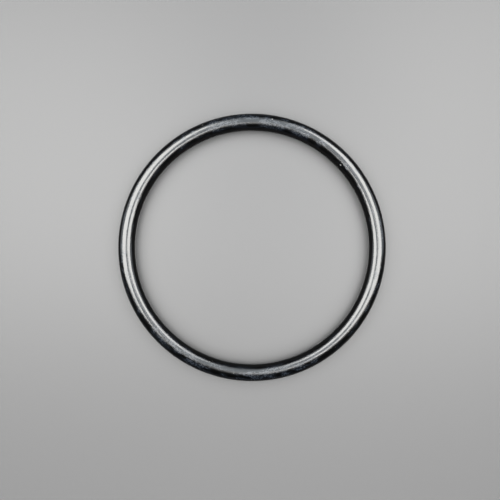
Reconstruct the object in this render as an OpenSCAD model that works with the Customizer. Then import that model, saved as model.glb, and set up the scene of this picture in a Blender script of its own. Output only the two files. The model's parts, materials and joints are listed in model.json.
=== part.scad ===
// Rubber o-ring, moulded in one piece and lying flat.
// The origin is on the ring's axis, at the surface that the ring lies on. +Z is up, along the axis.

/* [Ring] */
// Inner diameter of the free ring, from rubber to rubber
inner_d = 56; // [12:0.5:200]
// Diameter of the round section
section_d = 4; // [1.5:0.1:10]

/* [Parting line] */
// Width of the trimmed ridge left where the two halves of the mould met
parting_w = 0.12; // [0.06:0.01:0.3]
// How far that ridge stands off the round section, inside and outside the ring
parting_h = 0.05; // [0.02:0.01:0.12]

/* [Hidden] */
$fn = 180;
outer_d = inner_d + 2 * section_d;
// Height of the section's centre, where the mould parted
centre_z = section_d / 2;
// The cut that opens the parting web runs this far past both its faces
cut_past = 1;

// The round section, turned about the ring's axis
module section_ring() {
    translate([0, 0, centre_z])
        rotate_extrude()
            translate([(inner_d + section_d) / 2, 0])
                circle(d = section_d);
}

// A flat web at the height where the mould parted. The ring hides all of it but its two edges,
// which are the ridges inside and outside.
module parting_web() {
    translate([0, 0, centre_z - parting_w / 2])
        difference() {
            cylinder(h = parting_w, d = outer_d + 2 * parting_h);
            translate([0, 0, -cut_past])
                cylinder(h = parting_w + 2 * cut_past, d = inner_d - 2 * parting_h);
        }
}

module o_ring() {
    color([0.06, 0.06, 0.065])
        union() {
            section_ring();
            parting_web();
        }
}

o_ring();
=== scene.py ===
"""Rubber o-ring: the moulded ring with its finish, and the floor, lights and camera around it."""

import json
import math

import bmesh
import bpy
from mathutils import Matrix, Vector, noise


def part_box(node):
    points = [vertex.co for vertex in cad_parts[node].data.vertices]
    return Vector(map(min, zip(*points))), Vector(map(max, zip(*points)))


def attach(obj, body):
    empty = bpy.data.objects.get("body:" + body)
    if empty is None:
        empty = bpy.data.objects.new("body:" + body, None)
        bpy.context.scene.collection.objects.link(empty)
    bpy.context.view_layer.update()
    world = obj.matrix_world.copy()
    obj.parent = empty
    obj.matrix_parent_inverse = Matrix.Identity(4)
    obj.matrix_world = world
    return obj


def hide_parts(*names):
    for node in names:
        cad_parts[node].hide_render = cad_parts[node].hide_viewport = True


bl_info = {
    "name": "Rubber O-Ring",
    "version": (1, 0, 0),
    "blender": (4, 5, 0),
    "location": "View3D > Sidebar > O-Ring",
    "description": "Makes a moulded rubber o-ring on a plain floor under soft studio light",
    "category": "Add Mesh",
}

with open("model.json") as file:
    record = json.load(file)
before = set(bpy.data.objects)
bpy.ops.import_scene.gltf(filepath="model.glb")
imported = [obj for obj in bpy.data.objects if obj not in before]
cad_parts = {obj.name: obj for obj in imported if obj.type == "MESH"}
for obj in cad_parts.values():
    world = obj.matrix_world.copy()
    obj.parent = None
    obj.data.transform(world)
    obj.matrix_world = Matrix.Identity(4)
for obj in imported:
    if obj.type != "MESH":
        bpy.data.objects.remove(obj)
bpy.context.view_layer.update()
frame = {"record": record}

MM = 0.001
NODE = "o_ring"

# The driving sizes, in metres, as the frame states them.
LOW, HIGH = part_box(NODE)
SEATS = {mount["name"]: mount["dims"] for mount in frame["record"]["mounts"]}
SECTION_D = HIGH.z - LOW.z
OUTER_RADIUS = min(-LOW.x, -LOW.y, HIGH.x, HIGH.y)
INNER_RADIUS = SEATS["inner_seat"]["r_mm"] * MM
PARTING_W = SEATS["inner_seat"]["length_mm"] * MM

# How finely the ring is divided, and how far its surface strays from a perfect one. The ridge's inset and
# rounding are shares of its width, and points closer than a share of the section's radius are welded.
STEPS_ROUND_RING = 480
SHARP_ANGLE = math.radians(35)
UNEVEN_DEPTH = 0.03 * MM
UNEVEN_ALONG = 14 * MM
UNEVEN_ACROSS = 2.6 * MM
TRIM_LENGTH = 3 * MM
TRIM_KEPT = 0.5
RIDGE_INSET = 0.05
RIDGE_ROUNDING = 0.15
WELD_SHARE = 0.001

# The finish of the rubber. Its IOR is typical of nitrile rubber, and its gloss is that of a polished mould.
# The streaks are drawn out along the ring, the way it was moulded.
RUBBER_IOR = 1.52
CLEAN_ROUGHNESS = 0.18
STREAK_ALONG = 4 * MM
STREAK_ACROSS = 0.33 * MM
STREAK_DETAIL = 3
STREAK_DEPTH = 0.02 * MM

# The film of bloom: its patches, and its grain, which is drawn coarser than the real one so that it shows.
FILM_ROUGHNESS = 0.4
FILM_ALONG = 2.6 * MM
FILM_ACROSS = 0.9 * MM
FILM_DETAIL = 5
FILM_LIMITS = (0.52, 0.7)
FILM_THINNEST = 0.15
GRAIN_ALONG = 0.45 * MM
GRAIN_ACROSS = 0.25 * MM
GRAIN_DETAIL = 2
GRAIN_DEPTH = 0.009 * MM
GRAIN_LIMITS = (0.38, 0.64)

# Dust lies on what faces up, and so does the film's lighter bluish colour, partly a painted sheen of overhead
# light: from the first cosine of the slope, and in full from the second.
UPPER_SIDE = (0.5, 0.95)

# Where the ring was handled the film is thicker: degrees from +X and reach, the share of the reach that has
# all of it, and how much it adds.
HANDLED = ((76, 12 * MM), (99, 9 * MM), (234, 12 * MM), (275, 14 * MM))
HANDLED_CORE = 0.4
HANDLED_EXTRA = 0.12

# Dust: a cell for each speck, the radius of the largest, how far the others fall below it, and how soft and
# how ragged a speck's edge is. A speck whose radius falls below 0 isn't there, and most do.
DUST_SPACING = 0.55 * MM
DUST_LARGEST = 0.12 * MM
DUST_FALL = 1.12 * MM
DUST_EDGE = 0.06 * MM
RAGGED_GRAIN = 0.15 * MM
RAGGED_DETAIL = 1
RAGGED_DEPTH = 0.1 * MM

# The larger flecks, each as degrees from +X, distance from the axis and radius.
FLECKS = ((43, 28.6 * MM, 0.2 * MM), (81, 30.6 * MM, 0.175 * MM), (112, 31.2 * MM, 0.125 * MM))

# The camera looks straight down from the height of a hand, a little off the ring's axis.
CAMERA_HEIGHT = 115.5 * MM
CAMERA_SHIFT = Vector((-0.48, -0.62)) * MM
CAMERA_LENS = 34.1
CAMERA_SENSOR = 36.0

# The floor, and how bright it and the backdrop are in the rubber, in shares of how the camera sees them.
FLOOR_RADIUS = 2.5
FLOOR_STEPS = 96
FLOOR_GLOSS = 0.2
FLOOR_ROUGHNESS = 0.5
MIRRORED_FLOOR = 0.4
MIRRORED_BACKDROP = 0.03

# Each light panel's edges across and along, in shares of its height, its share of the brightness, its colour.
WHITE = (1, 1, 0.98)
SKY = (0.85, 0.93, 1)
PANELS = (
    ("left_panel", (-1.36, -0.2), (-0.28, 0.9), 0.95, WHITE),
    ("right_panel", (0.07, 1.25), (-0.3, 0.03), 0.95, WHITE),
    ("far_right_panel", (0.36, 1.25), (0.03, 1.1), 0.95, WHITE),
    ("front_fill", (-0.1, 0.9), (-0.5, -0.15), 0.12, WHITE),
    ("overhead_fill", (-0.23, 0.36), (0.0, 0.8), 0.2, SKY),
    ("surround", (-6.0, 6.0), (-0.15, 1.5), 0.12, SKY),
)

# How wide a sky the floor's own light comes from.
WASH_SPREAD = math.radians(120)


def linear(hex_colour):
    """An sRGB hex colour, such as "#1a2b3c", as linear red, green and blue."""
    channels = [int(hex_colour[i:i + 2], 16) / 255 for i in (1, 3, 5)]
    return tuple(c / 12.92 if c <= 0.04045 else ((c + 0.055) / 1.055) ** 2.4 for c in channels)


def add_node(tree, kind, inputs=None, **settings):
    """Adds a node. inputs gives each socket, by name or number, its value or what feeds it."""
    made = tree.nodes.new(kind)
    for name, value in settings.items():
        setattr(made, name, value)
    for name, value in (inputs or {}).items():
        if isinstance(value, bpy.types.Node):
            value = value.outputs[0]
        if isinstance(value, bpy.types.NodeSocket):
            tree.links.new(value, made.inputs[name])
        else:
            made.inputs[name].default_value = value
    return made


class RingSettings(bpy.types.PropertyGroup):
    """Sizes and colours of the ring."""

    section_diameter: bpy.props.FloatProperty(
        name="Section diameter",
        description="Diameter of the round section of rubber",
        default=SECTION_D,
        min=1.5 * MM,
        unit="LENGTH",
        precision=5,
    )
    inner_radius: bpy.props.FloatProperty(
        name="Inner radius",
        description="From the axis to the top of the parting ridge inside the ring",
        default=INNER_RADIUS,
        min=6 * MM,
        unit="LENGTH",
        precision=5,
    )
    outer_radius: bpy.props.FloatProperty(
        name="Outer radius",
        description="From the axis to the top of the parting ridge outside the ring",
        default=OUTER_RADIUS,
        min=8 * MM,
        unit="LENGTH",
        precision=5,
    )
    parting_width: bpy.props.FloatProperty(
        name="Parting ridge width",
        description="Width of the trimmed ridge left where the two halves of the mould met",
        default=PARTING_W,
        min=0.05 * MM,
        unit="LENGTH",
        precision=5,
    )
    rubber_colour: bpy.props.FloatVectorProperty(
        name="Rubber",
        description="Colour of the clean carbon-black rubber",
        subtype="COLOR",
        default=linear("#010101"),
        min=0.0,
        max=1.0,
    )
    # The bloom colour is partly painted sheen: laid on the upper side, its bluish tone stands in for the
    # overhead light the top catches.
    bloom_and_sheen_colour: bpy.props.FloatVectorProperty(
        name="Bloom",
        description="Colour of the waxy film that comes out of the rubber with age",
        subtype="COLOR",
        default=linear("#15191f"),
        min=0.0,
        max=1.0,
    )
    dust_colour: bpy.props.FloatVectorProperty(
        name="Dust",
        description="Colour of the specks of dust on the rubber",
        subtype="COLOR",
        default=linear("#5c5c5a"),
        min=0.0,
        max=1.0,
    )


class StageSettings(bpy.types.PropertyGroup):
    """The floor, the backdrop and the strength of the lights."""

    floor_colour: bpy.props.FloatVectorProperty(
        name="Floor",
        description="Colour of the floor, which reads paler than this under the strong lights",
        subtype="COLOR",
        default=linear("#121212"),
        min=0.0,
        max=1.0,
    )
    backdrop_colour: bpy.props.FloatVectorProperty(
        name="Backdrop",
        description="Colour seen past the edge of the floor",
        subtype="COLOR",
        default=linear("#b4b5b4"),
        min=0.0,
        max=1.0,
    )
    light_height: bpy.props.FloatProperty(
        name="Light height",
        description="Height of the light panels above the floor",
        default=0.15,
        min=0.12,
        unit="LENGTH",
    )
    light_radiance: bpy.props.FloatProperty(
        name="Light brightness",
        description="Brightness that each light panel has its share of, where 1 is white",
        default=18.0,
        min=0.0,
    )
    wash_radiance: bpy.props.FloatProperty(
        name="Floor wash",
        description="Brightness of the light that falls on the floor alone, where 1 is white",
        default=40.0,
        min=0.0,
    )


def ring_sizes(settings):
    """The radius of the section's centre, the section's radius and how far the parting ridge stands proud."""
    mid_radius = (settings.outer_radius + settings.inner_radius) / 2
    section_radius = settings.section_diameter / 2
    ridge_height = (settings.outer_radius - settings.inner_radius) / 2 - section_radius
    return mid_radius, section_radius, ridge_height


def section_arc(point, mid_radius, centre_z):
    """The angle round the section, 0 at its top and positive towards the outside of the ring."""
    return math.atan2(math.hypot(point.x, point.y) - mid_radius, point.z - centre_z)


def spin_section(bm, settings):
    """Spins a round section about the axis, with a band of faces as wide as the ridge at each side of it."""
    mid_radius, section_radius, _ = ring_sizes(settings)
    steps = 4 * round(2 * math.pi * section_radius / settings.parting_width / 4)
    bmesh.ops.create_circle(bm, segments=steps, radius=section_radius)
    half_step = Matrix.Rotation(math.pi / steps, 3, "Z")
    upright = Matrix.Rotation(math.pi / 2, 3, "X")
    bmesh.ops.rotate(bm, verts=bm.verts, matrix=upright @ half_step)
    bmesh.ops.translate(bm, verts=bm.verts, vec=(mid_radius, 0, LOW.z + section_radius))
    bmesh.ops.spin(
        bm,
        geom=bm.verts[:] + bm.edges[:],
        cent=(0, 0, 0),
        axis=(0, 0, 1),
        angle=2 * math.pi,
        steps=STEPS_ROUND_RING,
        use_merge=True,
    )
    bmesh.ops.remove_doubles(bm, verts=bm.verts, dist=section_radius * WELD_SHARE)
    bmesh.ops.recalc_face_normals(bm, faces=bm.faces)


def uneven_surface(bm, settings):
    """Lets the rubber dip a few hundredths of a millimetre, in long shallow waves along the ring."""
    mid_radius, section_radius, _ = ring_sizes(settings)
    centre_z = LOW.z + section_radius
    bm.normal_update()
    for vert in bm.verts:
        along = Vector((vert.co.x, vert.co.y, 0)).normalized() * mid_radius / UNEVEN_ALONG
        across = section_arc(vert.co, mid_radius, centre_z) * section_radius / UNEVEN_ACROSS
        dip = 0.5 + 0.5 * noise.noise(along + Vector((0, 0, across)))
        vert.co -= vert.normal * UNEVEN_DEPTH * dip


def raise_ridge(bm, settings):
    """Raises the parting ridge, inside and outside, rounds its edges and leaves it a little ragged."""
    mid_radius, section_radius, ridge_height = ring_sizes(settings)
    centre_z = LOW.z + section_radius
    halfway = math.pi / 2

    # The ridge's faces are those whose middle lies within a quarter of its width from half-way round.
    reach = settings.parting_width / section_radius / 4
    bands = []
    for face in bm.faces:
        arc = section_arc(face.calc_center_median(), mid_radius, centre_z)
        if abs(abs(arc) - halfway) < reach:
            bands.append(face)
    bmesh.ops.inset_region(
        bm,
        faces=bands,
        use_boundary=True,
        use_even_offset=True,
        thickness=settings.parting_width * RIDGE_INSET,
        depth=ridge_height,
    )
    tops = {vert for face in bands for vert in face.verts}
    for vert in tops:
        kept = TRIM_KEPT + (1 - TRIM_KEPT) * (0.5 + 0.5 * noise.noise(vert.co / TRIM_LENGTH))
        outward = Vector((vert.co.x, vert.co.y, 0)).normalized()
        side = 1 if vert.co.length > mid_radius else -1
        vert.co -= outward * side * ridge_height * (1 - kept)
    rims = [e for face in bands for e in face.edges if any(f not in bands for f in e.link_faces)]
    bmesh.ops.bevel(
        bm,
        geom=list(set(rims)),
        affect="EDGES",
        offset=settings.parting_width * RIDGE_ROUNDING,
        segments=2,
        profile=0.5,
        material=-1,
    )


def ring_point(settings, degrees, radius):
    """The point on top of the ring at an angle from +X and a distance from the axis."""
    mid_radius, section_radius, _ = ring_sizes(settings)
    rise = math.sqrt(section_radius**2 - (radius - mid_radius) ** 2)
    angle = math.radians(degrees)
    return (radius * math.cos(angle), radius * math.sin(angle), LOW.z + section_radius + rise)


def flow_coordinates(tree, place, settings):
    """Coordinates that follow the ring, with the way round its section as their height, and the angle round
    the section, 0 at its top and positive towards the outside."""
    mid_radius, section_radius, _ = ring_sizes(settings)
    split = add_node(tree, "ShaderNodeSeparateXYZ", {0: place})
    x, y, z = split.outputs
    flat = add_node(tree, "ShaderNodeCombineXYZ", {0: x, 1: y})
    radius = add_node(tree, "ShaderNodeVectorMath", {0: flat}, operation="LENGTH").outputs["Value"]
    unit = add_node(tree, "ShaderNodeVectorMath", {0: flat}, operation="NORMALIZE")
    centre = add_node(tree, "ShaderNodeVectorMath", {0: unit, 1: (mid_radius,) * 3}, operation="MULTIPLY")
    out = add_node(tree, "ShaderNodeMath", {0: radius, 1: mid_radius}, operation="SUBTRACT")
    up = add_node(tree, "ShaderNodeMath", {0: z, 1: LOW.z + section_radius}, operation="SUBTRACT")
    turn = add_node(tree, "ShaderNodeMath", {0: out, 1: up}, operation="ARCTAN2")
    arc = add_node(tree, "ShaderNodeMath", {0: turn, 1: section_radius}, operation="MULTIPLY")
    lift = add_node(tree, "ShaderNodeCombineXYZ", {2: arc})
    flow = add_node(tree, "ShaderNodeVectorMath", {0: centre, 1: lift}, operation="ADD")
    return flow, turn


def drawn_out(tree, place, along, across, detail):
    """An uneven pattern from 0 to 1, with grains as long as along, down the ring, and as wide as across."""
    stretch = (1 / along, 1 / along, 1 / across)
    stretched = add_node(tree, "ShaderNodeMapping", {"Vector": place, "Scale": stretch})
    return add_node(tree, "ShaderNodeTexNoise", {"Vector": stretched, "Scale": 1.0, "Detail": detail})


def film_thickness(tree, place, flow, grain, settings):
    """How thick the film is, from 0 to 1: patches broken up by their grain, thicker where it was handled."""
    mid_radius = ring_sizes(settings)[0]
    handled = 0.0
    for degrees, reach in HANDLED:
        spot = ring_point(settings, degrees, mid_radius)
        away = add_node(tree, "ShaderNodeVectorMath", {0: place, 1: spot}, operation="DISTANCE")
        core = HANDLED_CORE * reach
        fall = {"Value": away.outputs["Value"], "From Min": reach, "From Max": core, "To Max": HANDLED_EXTRA}
        near = add_node(tree, "ShaderNodeMapRange", fall)
        handled = add_node(tree, "ShaderNodeMath", {0: handled, 1: near}, operation="MAXIMUM")
    patches = drawn_out(tree, flow, FILM_ALONG, FILM_ACROSS, FILM_DETAIL)
    uneven = add_node(tree, "ShaderNodeMath", {0: patches, 1: handled}, operation="ADD")
    low, high = FILM_LIMITS
    film = add_node(tree, "ShaderNodeMapRange", {"Value": uneven, "From Min": low, "From Max": high})
    low, high = GRAIN_LIMITS
    limits = {"Value": grain, "From Min": low, "From Max": high, "To Min": FILM_THINNEST}
    speckle = add_node(tree, "ShaderNodeMapRange", limits)
    return add_node(tree, "ShaderNodeMath", {0: film, 1: speckle}, operation="MULTIPLY")


def speck(tree, radius, away, ragged):
    """1 on a speck of that radius and 0 off it, from the distance to its middle and its edge's raggedness."""
    reach = add_node(tree, "ShaderNodeMath", {0: radius, 1: ragged}, operation="ADD")
    inside = add_node(tree, "ShaderNodeMath", {0: reach, 1: away}, operation="SUBTRACT")
    return add_node(tree, "ShaderNodeMapRange", {"Value": inside, "From Max": DUST_EDGE})


def dust_cover(tree, place, flow, facing_up, settings):
    """Where dust lies: one speck in a cell, of any size up to the largest, and the larger flecks."""
    rough = drawn_out(tree, place, RAGGED_GRAIN, RAGGED_GRAIN, RAGGED_DETAIL)
    spread = {0: rough, 1: 2 * RAGGED_DEPTH, 2: -RAGGED_DEPTH}
    ragged = add_node(tree, "ShaderNodeMath", spread, operation="MULTIPLY_ADD")
    cells = add_node(tree, "ShaderNodeTexVoronoi", {"Vector": flow, "Scale": 1 / DUST_SPACING})
    chance = add_node(tree, "ShaderNodeSeparateColor", {0: cells.outputs["Color"]})
    fall = {0: chance, 1: -DUST_FALL, 2: DUST_LARGEST}
    radius = add_node(tree, "ShaderNodeMath", fall, operation="MULTIPLY_ADD")
    away = add_node(tree, "ShaderNodeMath", {0: cells, 1: DUST_SPACING}, operation="MULTIPLY")
    specks = speck(tree, radius, away, ragged)
    dust = add_node(tree, "ShaderNodeMath", {0: specks, 1: facing_up}, operation="MULTIPLY")
    for degrees, distance, fleck_radius in FLECKS:
        spot = ring_point(settings, degrees, distance)
        away = add_node(tree, "ShaderNodeVectorMath", {0: place, 1: spot}, operation="DISTANCE")
        fleck = speck(tree, fleck_radius, away.outputs["Value"], ragged)
        dust = add_node(tree, "ShaderNodeMath", {0: dust, 1: fleck}, operation="MAXIMUM")
    return dust


def rubber_material(settings):
    """Nitrile rubber, compression moulded in a polished steel mould. It is near-black with a satin gloss,
    fine streaks run along the ring, and a thin bluish film and a little dust lie on its upper side. The
    film's lighter bluish colour there is partly painted sheen, standing in for the overhead light the top
    catches."""
    material = bpy.data.materials.new("moulded_nitrile_rubber")
    material.use_nodes = True
    tree = material.node_tree
    tree.nodes.clear()
    place = add_node(tree, "ShaderNodeTexCoord").outputs["Object"]
    flow, turn = flow_coordinates(tree, place, settings)
    slope = add_node(tree, "ShaderNodeMath", {0: turn}, operation="COSINE")
    low, high = UPPER_SIDE
    facing_up = add_node(tree, "ShaderNodeMapRange", {"Value": slope, "From Min": low, "From Max": high})

    # Streaks from the flow of the rubber, and the fine grain of the film, both as shallow relief.
    streaks = drawn_out(tree, flow, STREAK_ALONG, STREAK_ACROSS, STREAK_DETAIL)
    grain = drawn_out(tree, flow, GRAIN_ALONG, GRAIN_ACROSS, GRAIN_DETAIL)
    streaked = add_node(tree, "ShaderNodeBump", {"Height": streaks, "Distance": STREAK_DEPTH})
    grained = {"Height": grain, "Distance": GRAIN_DEPTH, "Normal": streaked}
    relief = add_node(tree, "ShaderNodeBump", grained)

    # The film is bluish and scatters more than clean rubber does, and the dust is pale. Kept to the upper
    # side, the film's bluish colour is partly painted sheen of the overhead light.
    thickness = film_thickness(tree, place, flow, grain, settings)
    film = add_node(tree, "ShaderNodeMath", {0: thickness, 1: facing_up}, operation="MULTIPLY")
    bloom_and_sheen_tint = {"Factor": film, 6: (*settings.rubber_colour, 1), 7: (*settings.bloom_and_sheen_colour, 1)}
    filmed = add_node(tree, "ShaderNodeMix", bloom_and_sheen_tint, data_type="RGBA").outputs[2]
    gloss = {"Value": film, "To Min": CLEAN_ROUGHNESS, "To Max": FILM_ROUGHNESS}
    roughness = add_node(tree, "ShaderNodeMapRange", gloss)
    dust = dust_cover(tree, place, flow, facing_up, settings)
    dusting = {"Factor": dust, 6: filmed, 7: (*settings.dust_colour, 1)}
    dusted = add_node(tree, "ShaderNodeMix", dusting, data_type="RGBA").outputs[2]

    finish = {"Base Color": dusted, "Roughness": roughness, "IOR": RUBBER_IOR, "Normal": relief}
    shader = add_node(tree, "ShaderNodeBsdfPrincipled", finish)
    add_node(tree, "ShaderNodeOutputMaterial", {"Surface": shader})
    return material


class ORING_OT_make_ring(bpy.types.Operator):
    """Make the rubber ring with its parting ridge and its finish"""

    bl_idname = "oring.make_ring"
    bl_label = "Make Ring"

    def execute(self, context):
        settings = context.scene.oring_ring
        bm = bmesh.new()
        spin_section(bm, settings)
        uneven_surface(bm, settings)
        raise_ridge(bm, settings)
        for face in bm.faces:
            face.smooth = True
        for edge in bm.edges:
            edge.smooth = edge.calc_face_angle() < SHARP_ANGLE
        mesh = bpy.data.meshes.new("moulded_ring")
        bm.to_mesh(mesh)
        bm.free()
        mesh.materials.append(rubber_material(settings))
        ring = bpy.data.objects.new("moulded_ring", mesh)
        context.scene.collection.objects.link(ring)
        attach(ring, "root")
        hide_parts(NODE)
        return {"FINISHED"}


def floor_material(colour):
    """Board with an eggshell paint. It is plain, with a dull sheen, and takes a soft shadow. The rubber
    mirrors it dimmer than the camera sees it, so that the ring's flanks stay black."""
    material = bpy.data.materials.new("eggshell_painted_board")
    material.use_nodes = True
    tree = material.node_tree
    tree.nodes.clear()
    mirrored = add_node(tree, "ShaderNodeLightPath").outputs["Is Glossy Ray"]
    dimmed = tuple(MIRRORED_FLOOR * channel for channel in colour)
    paint = {"Factor": mirrored, 6: (*colour, 1), 7: (*dimmed, 1)}
    painted = add_node(tree, "ShaderNodeMix", paint, data_type="RGBA").outputs[2]
    gloss = add_node(tree, "ShaderNodeMapRange", {"Value": mirrored, "To Min": FLOOR_GLOSS, "To Max": 0.0})
    finish = {"Base Color": painted, "Roughness": FLOOR_ROUGHNESS, "Specular IOR Level": gloss}
    shader = add_node(tree, "ShaderNodeBsdfPrincipled", finish)
    add_node(tree, "ShaderNodeOutputMaterial", {"Surface": shader})
    return material


def add_floor(settings):
    """A round floor, wide enough to reach the horizon from a low camera."""
    bm = bmesh.new()
    bmesh.ops.create_circle(bm, cap_ends=True, segments=FLOOR_STEPS, radius=FLOOR_RADIUS)
    mesh = bpy.data.meshes.new("floor")
    bm.to_mesh(mesh)
    bm.free()
    mesh.materials.append(floor_material(settings.floor_colour))
    floor = bpy.data.objects.new("floor", mesh)
    bpy.context.scene.collection.objects.link(floor)
    return floor


def add_panel_light(name, height, x_reach, y_reach, radiance, colour):
    """A flat light panel that faces down. The reaches are its near and far edges, in shares of its height."""
    x_low, x_high = (height * x for x in x_reach)
    y_low, y_high = (height * y for y in y_reach)
    light = bpy.data.lights.new(name, "AREA")
    light.shape = "RECTANGLE"
    light.size = x_high - x_low
    light.size_y = y_high - y_low
    light.energy = radiance * math.pi * light.size * light.size_y
    light.color = colour
    panel = bpy.data.objects.new(name, light)
    panel.location = ((x_low + x_high) / 2, (y_low + y_high) / 2, height)
    panel.visible_camera = False
    bpy.context.scene.collection.objects.link(panel)


def add_floor_wash(floor, radiance):
    """Soft light from above that falls on the floor alone, so that it stays pale out to its edge."""
    light = bpy.data.lights.new("floor_wash", "SUN")
    light.energy = radiance * math.pi
    light.angle = WASH_SPREAD
    wash = bpy.data.objects.new("floor_wash", light)
    bpy.context.scene.collection.objects.link(wash)
    lit = bpy.data.collections.new("lit_by_floor_wash")
    lit.objects.link(floor)
    wash.light_linking.receiver_collection = lit
    wash.visible_glossy = False


def add_backdrop(colour):
    """A pale backdrop past the floor, which the camera sees and the rubber hardly mirrors."""
    world = bpy.data.worlds.new("studio")
    world.use_nodes = True
    tree = world.node_tree
    tree.nodes.clear()
    seen = add_node(tree, "ShaderNodeLightPath").outputs["Is Camera Ray"]
    strength = add_node(tree, "ShaderNodeMapRange", {"Value": seen, "To Min": MIRRORED_BACKDROP})
    backdrop = add_node(tree, "ShaderNodeBackground", {"Color": (*colour, 1), "Strength": strength})
    add_node(tree, "ShaderNodeOutputWorld", {"Surface": backdrop})
    bpy.context.scene.world = world


def add_camera():
    """The camera, straight above the ring and looking down."""
    data = bpy.data.cameras.new("camera")
    data.lens = CAMERA_LENS
    data.sensor_width = CAMERA_SENSOR
    data.clip_start = 1 * MM
    data.clip_end = 2 * FLOOR_RADIUS
    camera = bpy.data.objects.new("camera", data)
    camera.location = (CAMERA_SHIFT.x, CAMERA_SHIFT.y, CAMERA_HEIGHT)
    bpy.context.scene.collection.objects.link(camera)
    bpy.context.scene.camera = camera


class ORING_OT_set_stage(bpy.types.Operator):
    """Lay the floor, hang the light panels and set the camera"""

    bl_idname = "oring.set_stage"
    bl_label = "Set Stage"

    def execute(self, context):
        settings = context.scene.oring_stage
        height = settings.light_height
        radiance = settings.light_radiance
        floor = add_floor(settings)
        add_floor_wash(floor, settings.wash_radiance)
        add_backdrop(settings.backdrop_colour)
        for name, x_reach, y_reach, share, colour in PANELS:
            add_panel_light(name, height, x_reach, y_reach, radiance * share, colour)
        add_camera()
        context.scene.view_settings.view_transform = "Standard"
        return {"FINISHED"}


class ORING_PT_panel(bpy.types.Panel):
    """The ring's and the stage's settings and buttons"""

    bl_idname = "ORING_PT_panel"
    bl_label = "Rubber O-Ring"
    bl_space_type = "VIEW_3D"
    bl_region_type = "UI"
    bl_category = "O-Ring"

    def draw(self, context):
        for settings, operator in (
            (context.scene.oring_ring, ORING_OT_make_ring),
            (context.scene.oring_stage, ORING_OT_set_stage),
        ):
            box = self.layout.box()
            for name in settings.__annotations__:
                box.prop(settings, name)
            box.operator(operator.bl_idname)


CLASSES = (RingSettings, StageSettings, ORING_OT_make_ring, ORING_OT_set_stage, ORING_PT_panel)


def register():
    """Registers the classes and hangs the settings on the scene."""
    for cls in CLASSES:
        bpy.utils.register_class(cls)
    bpy.types.Scene.oring_ring = bpy.props.PointerProperty(type=RingSettings)
    bpy.types.Scene.oring_stage = bpy.props.PointerProperty(type=StageSettings)


def unregister():
    """Takes the settings off the scene and unregisters the classes."""
    del bpy.types.Scene.oring_stage
    del bpy.types.Scene.oring_ring
    for cls in reversed(CLASSES):
        bpy.utils.unregister_class(cls)


def main():
    """Makes the ring and the stage."""
    register()
    bpy.ops.oring.make_ring()
    bpy.ops.oring.set_stage()


if __name__ == "__main__":
    main()
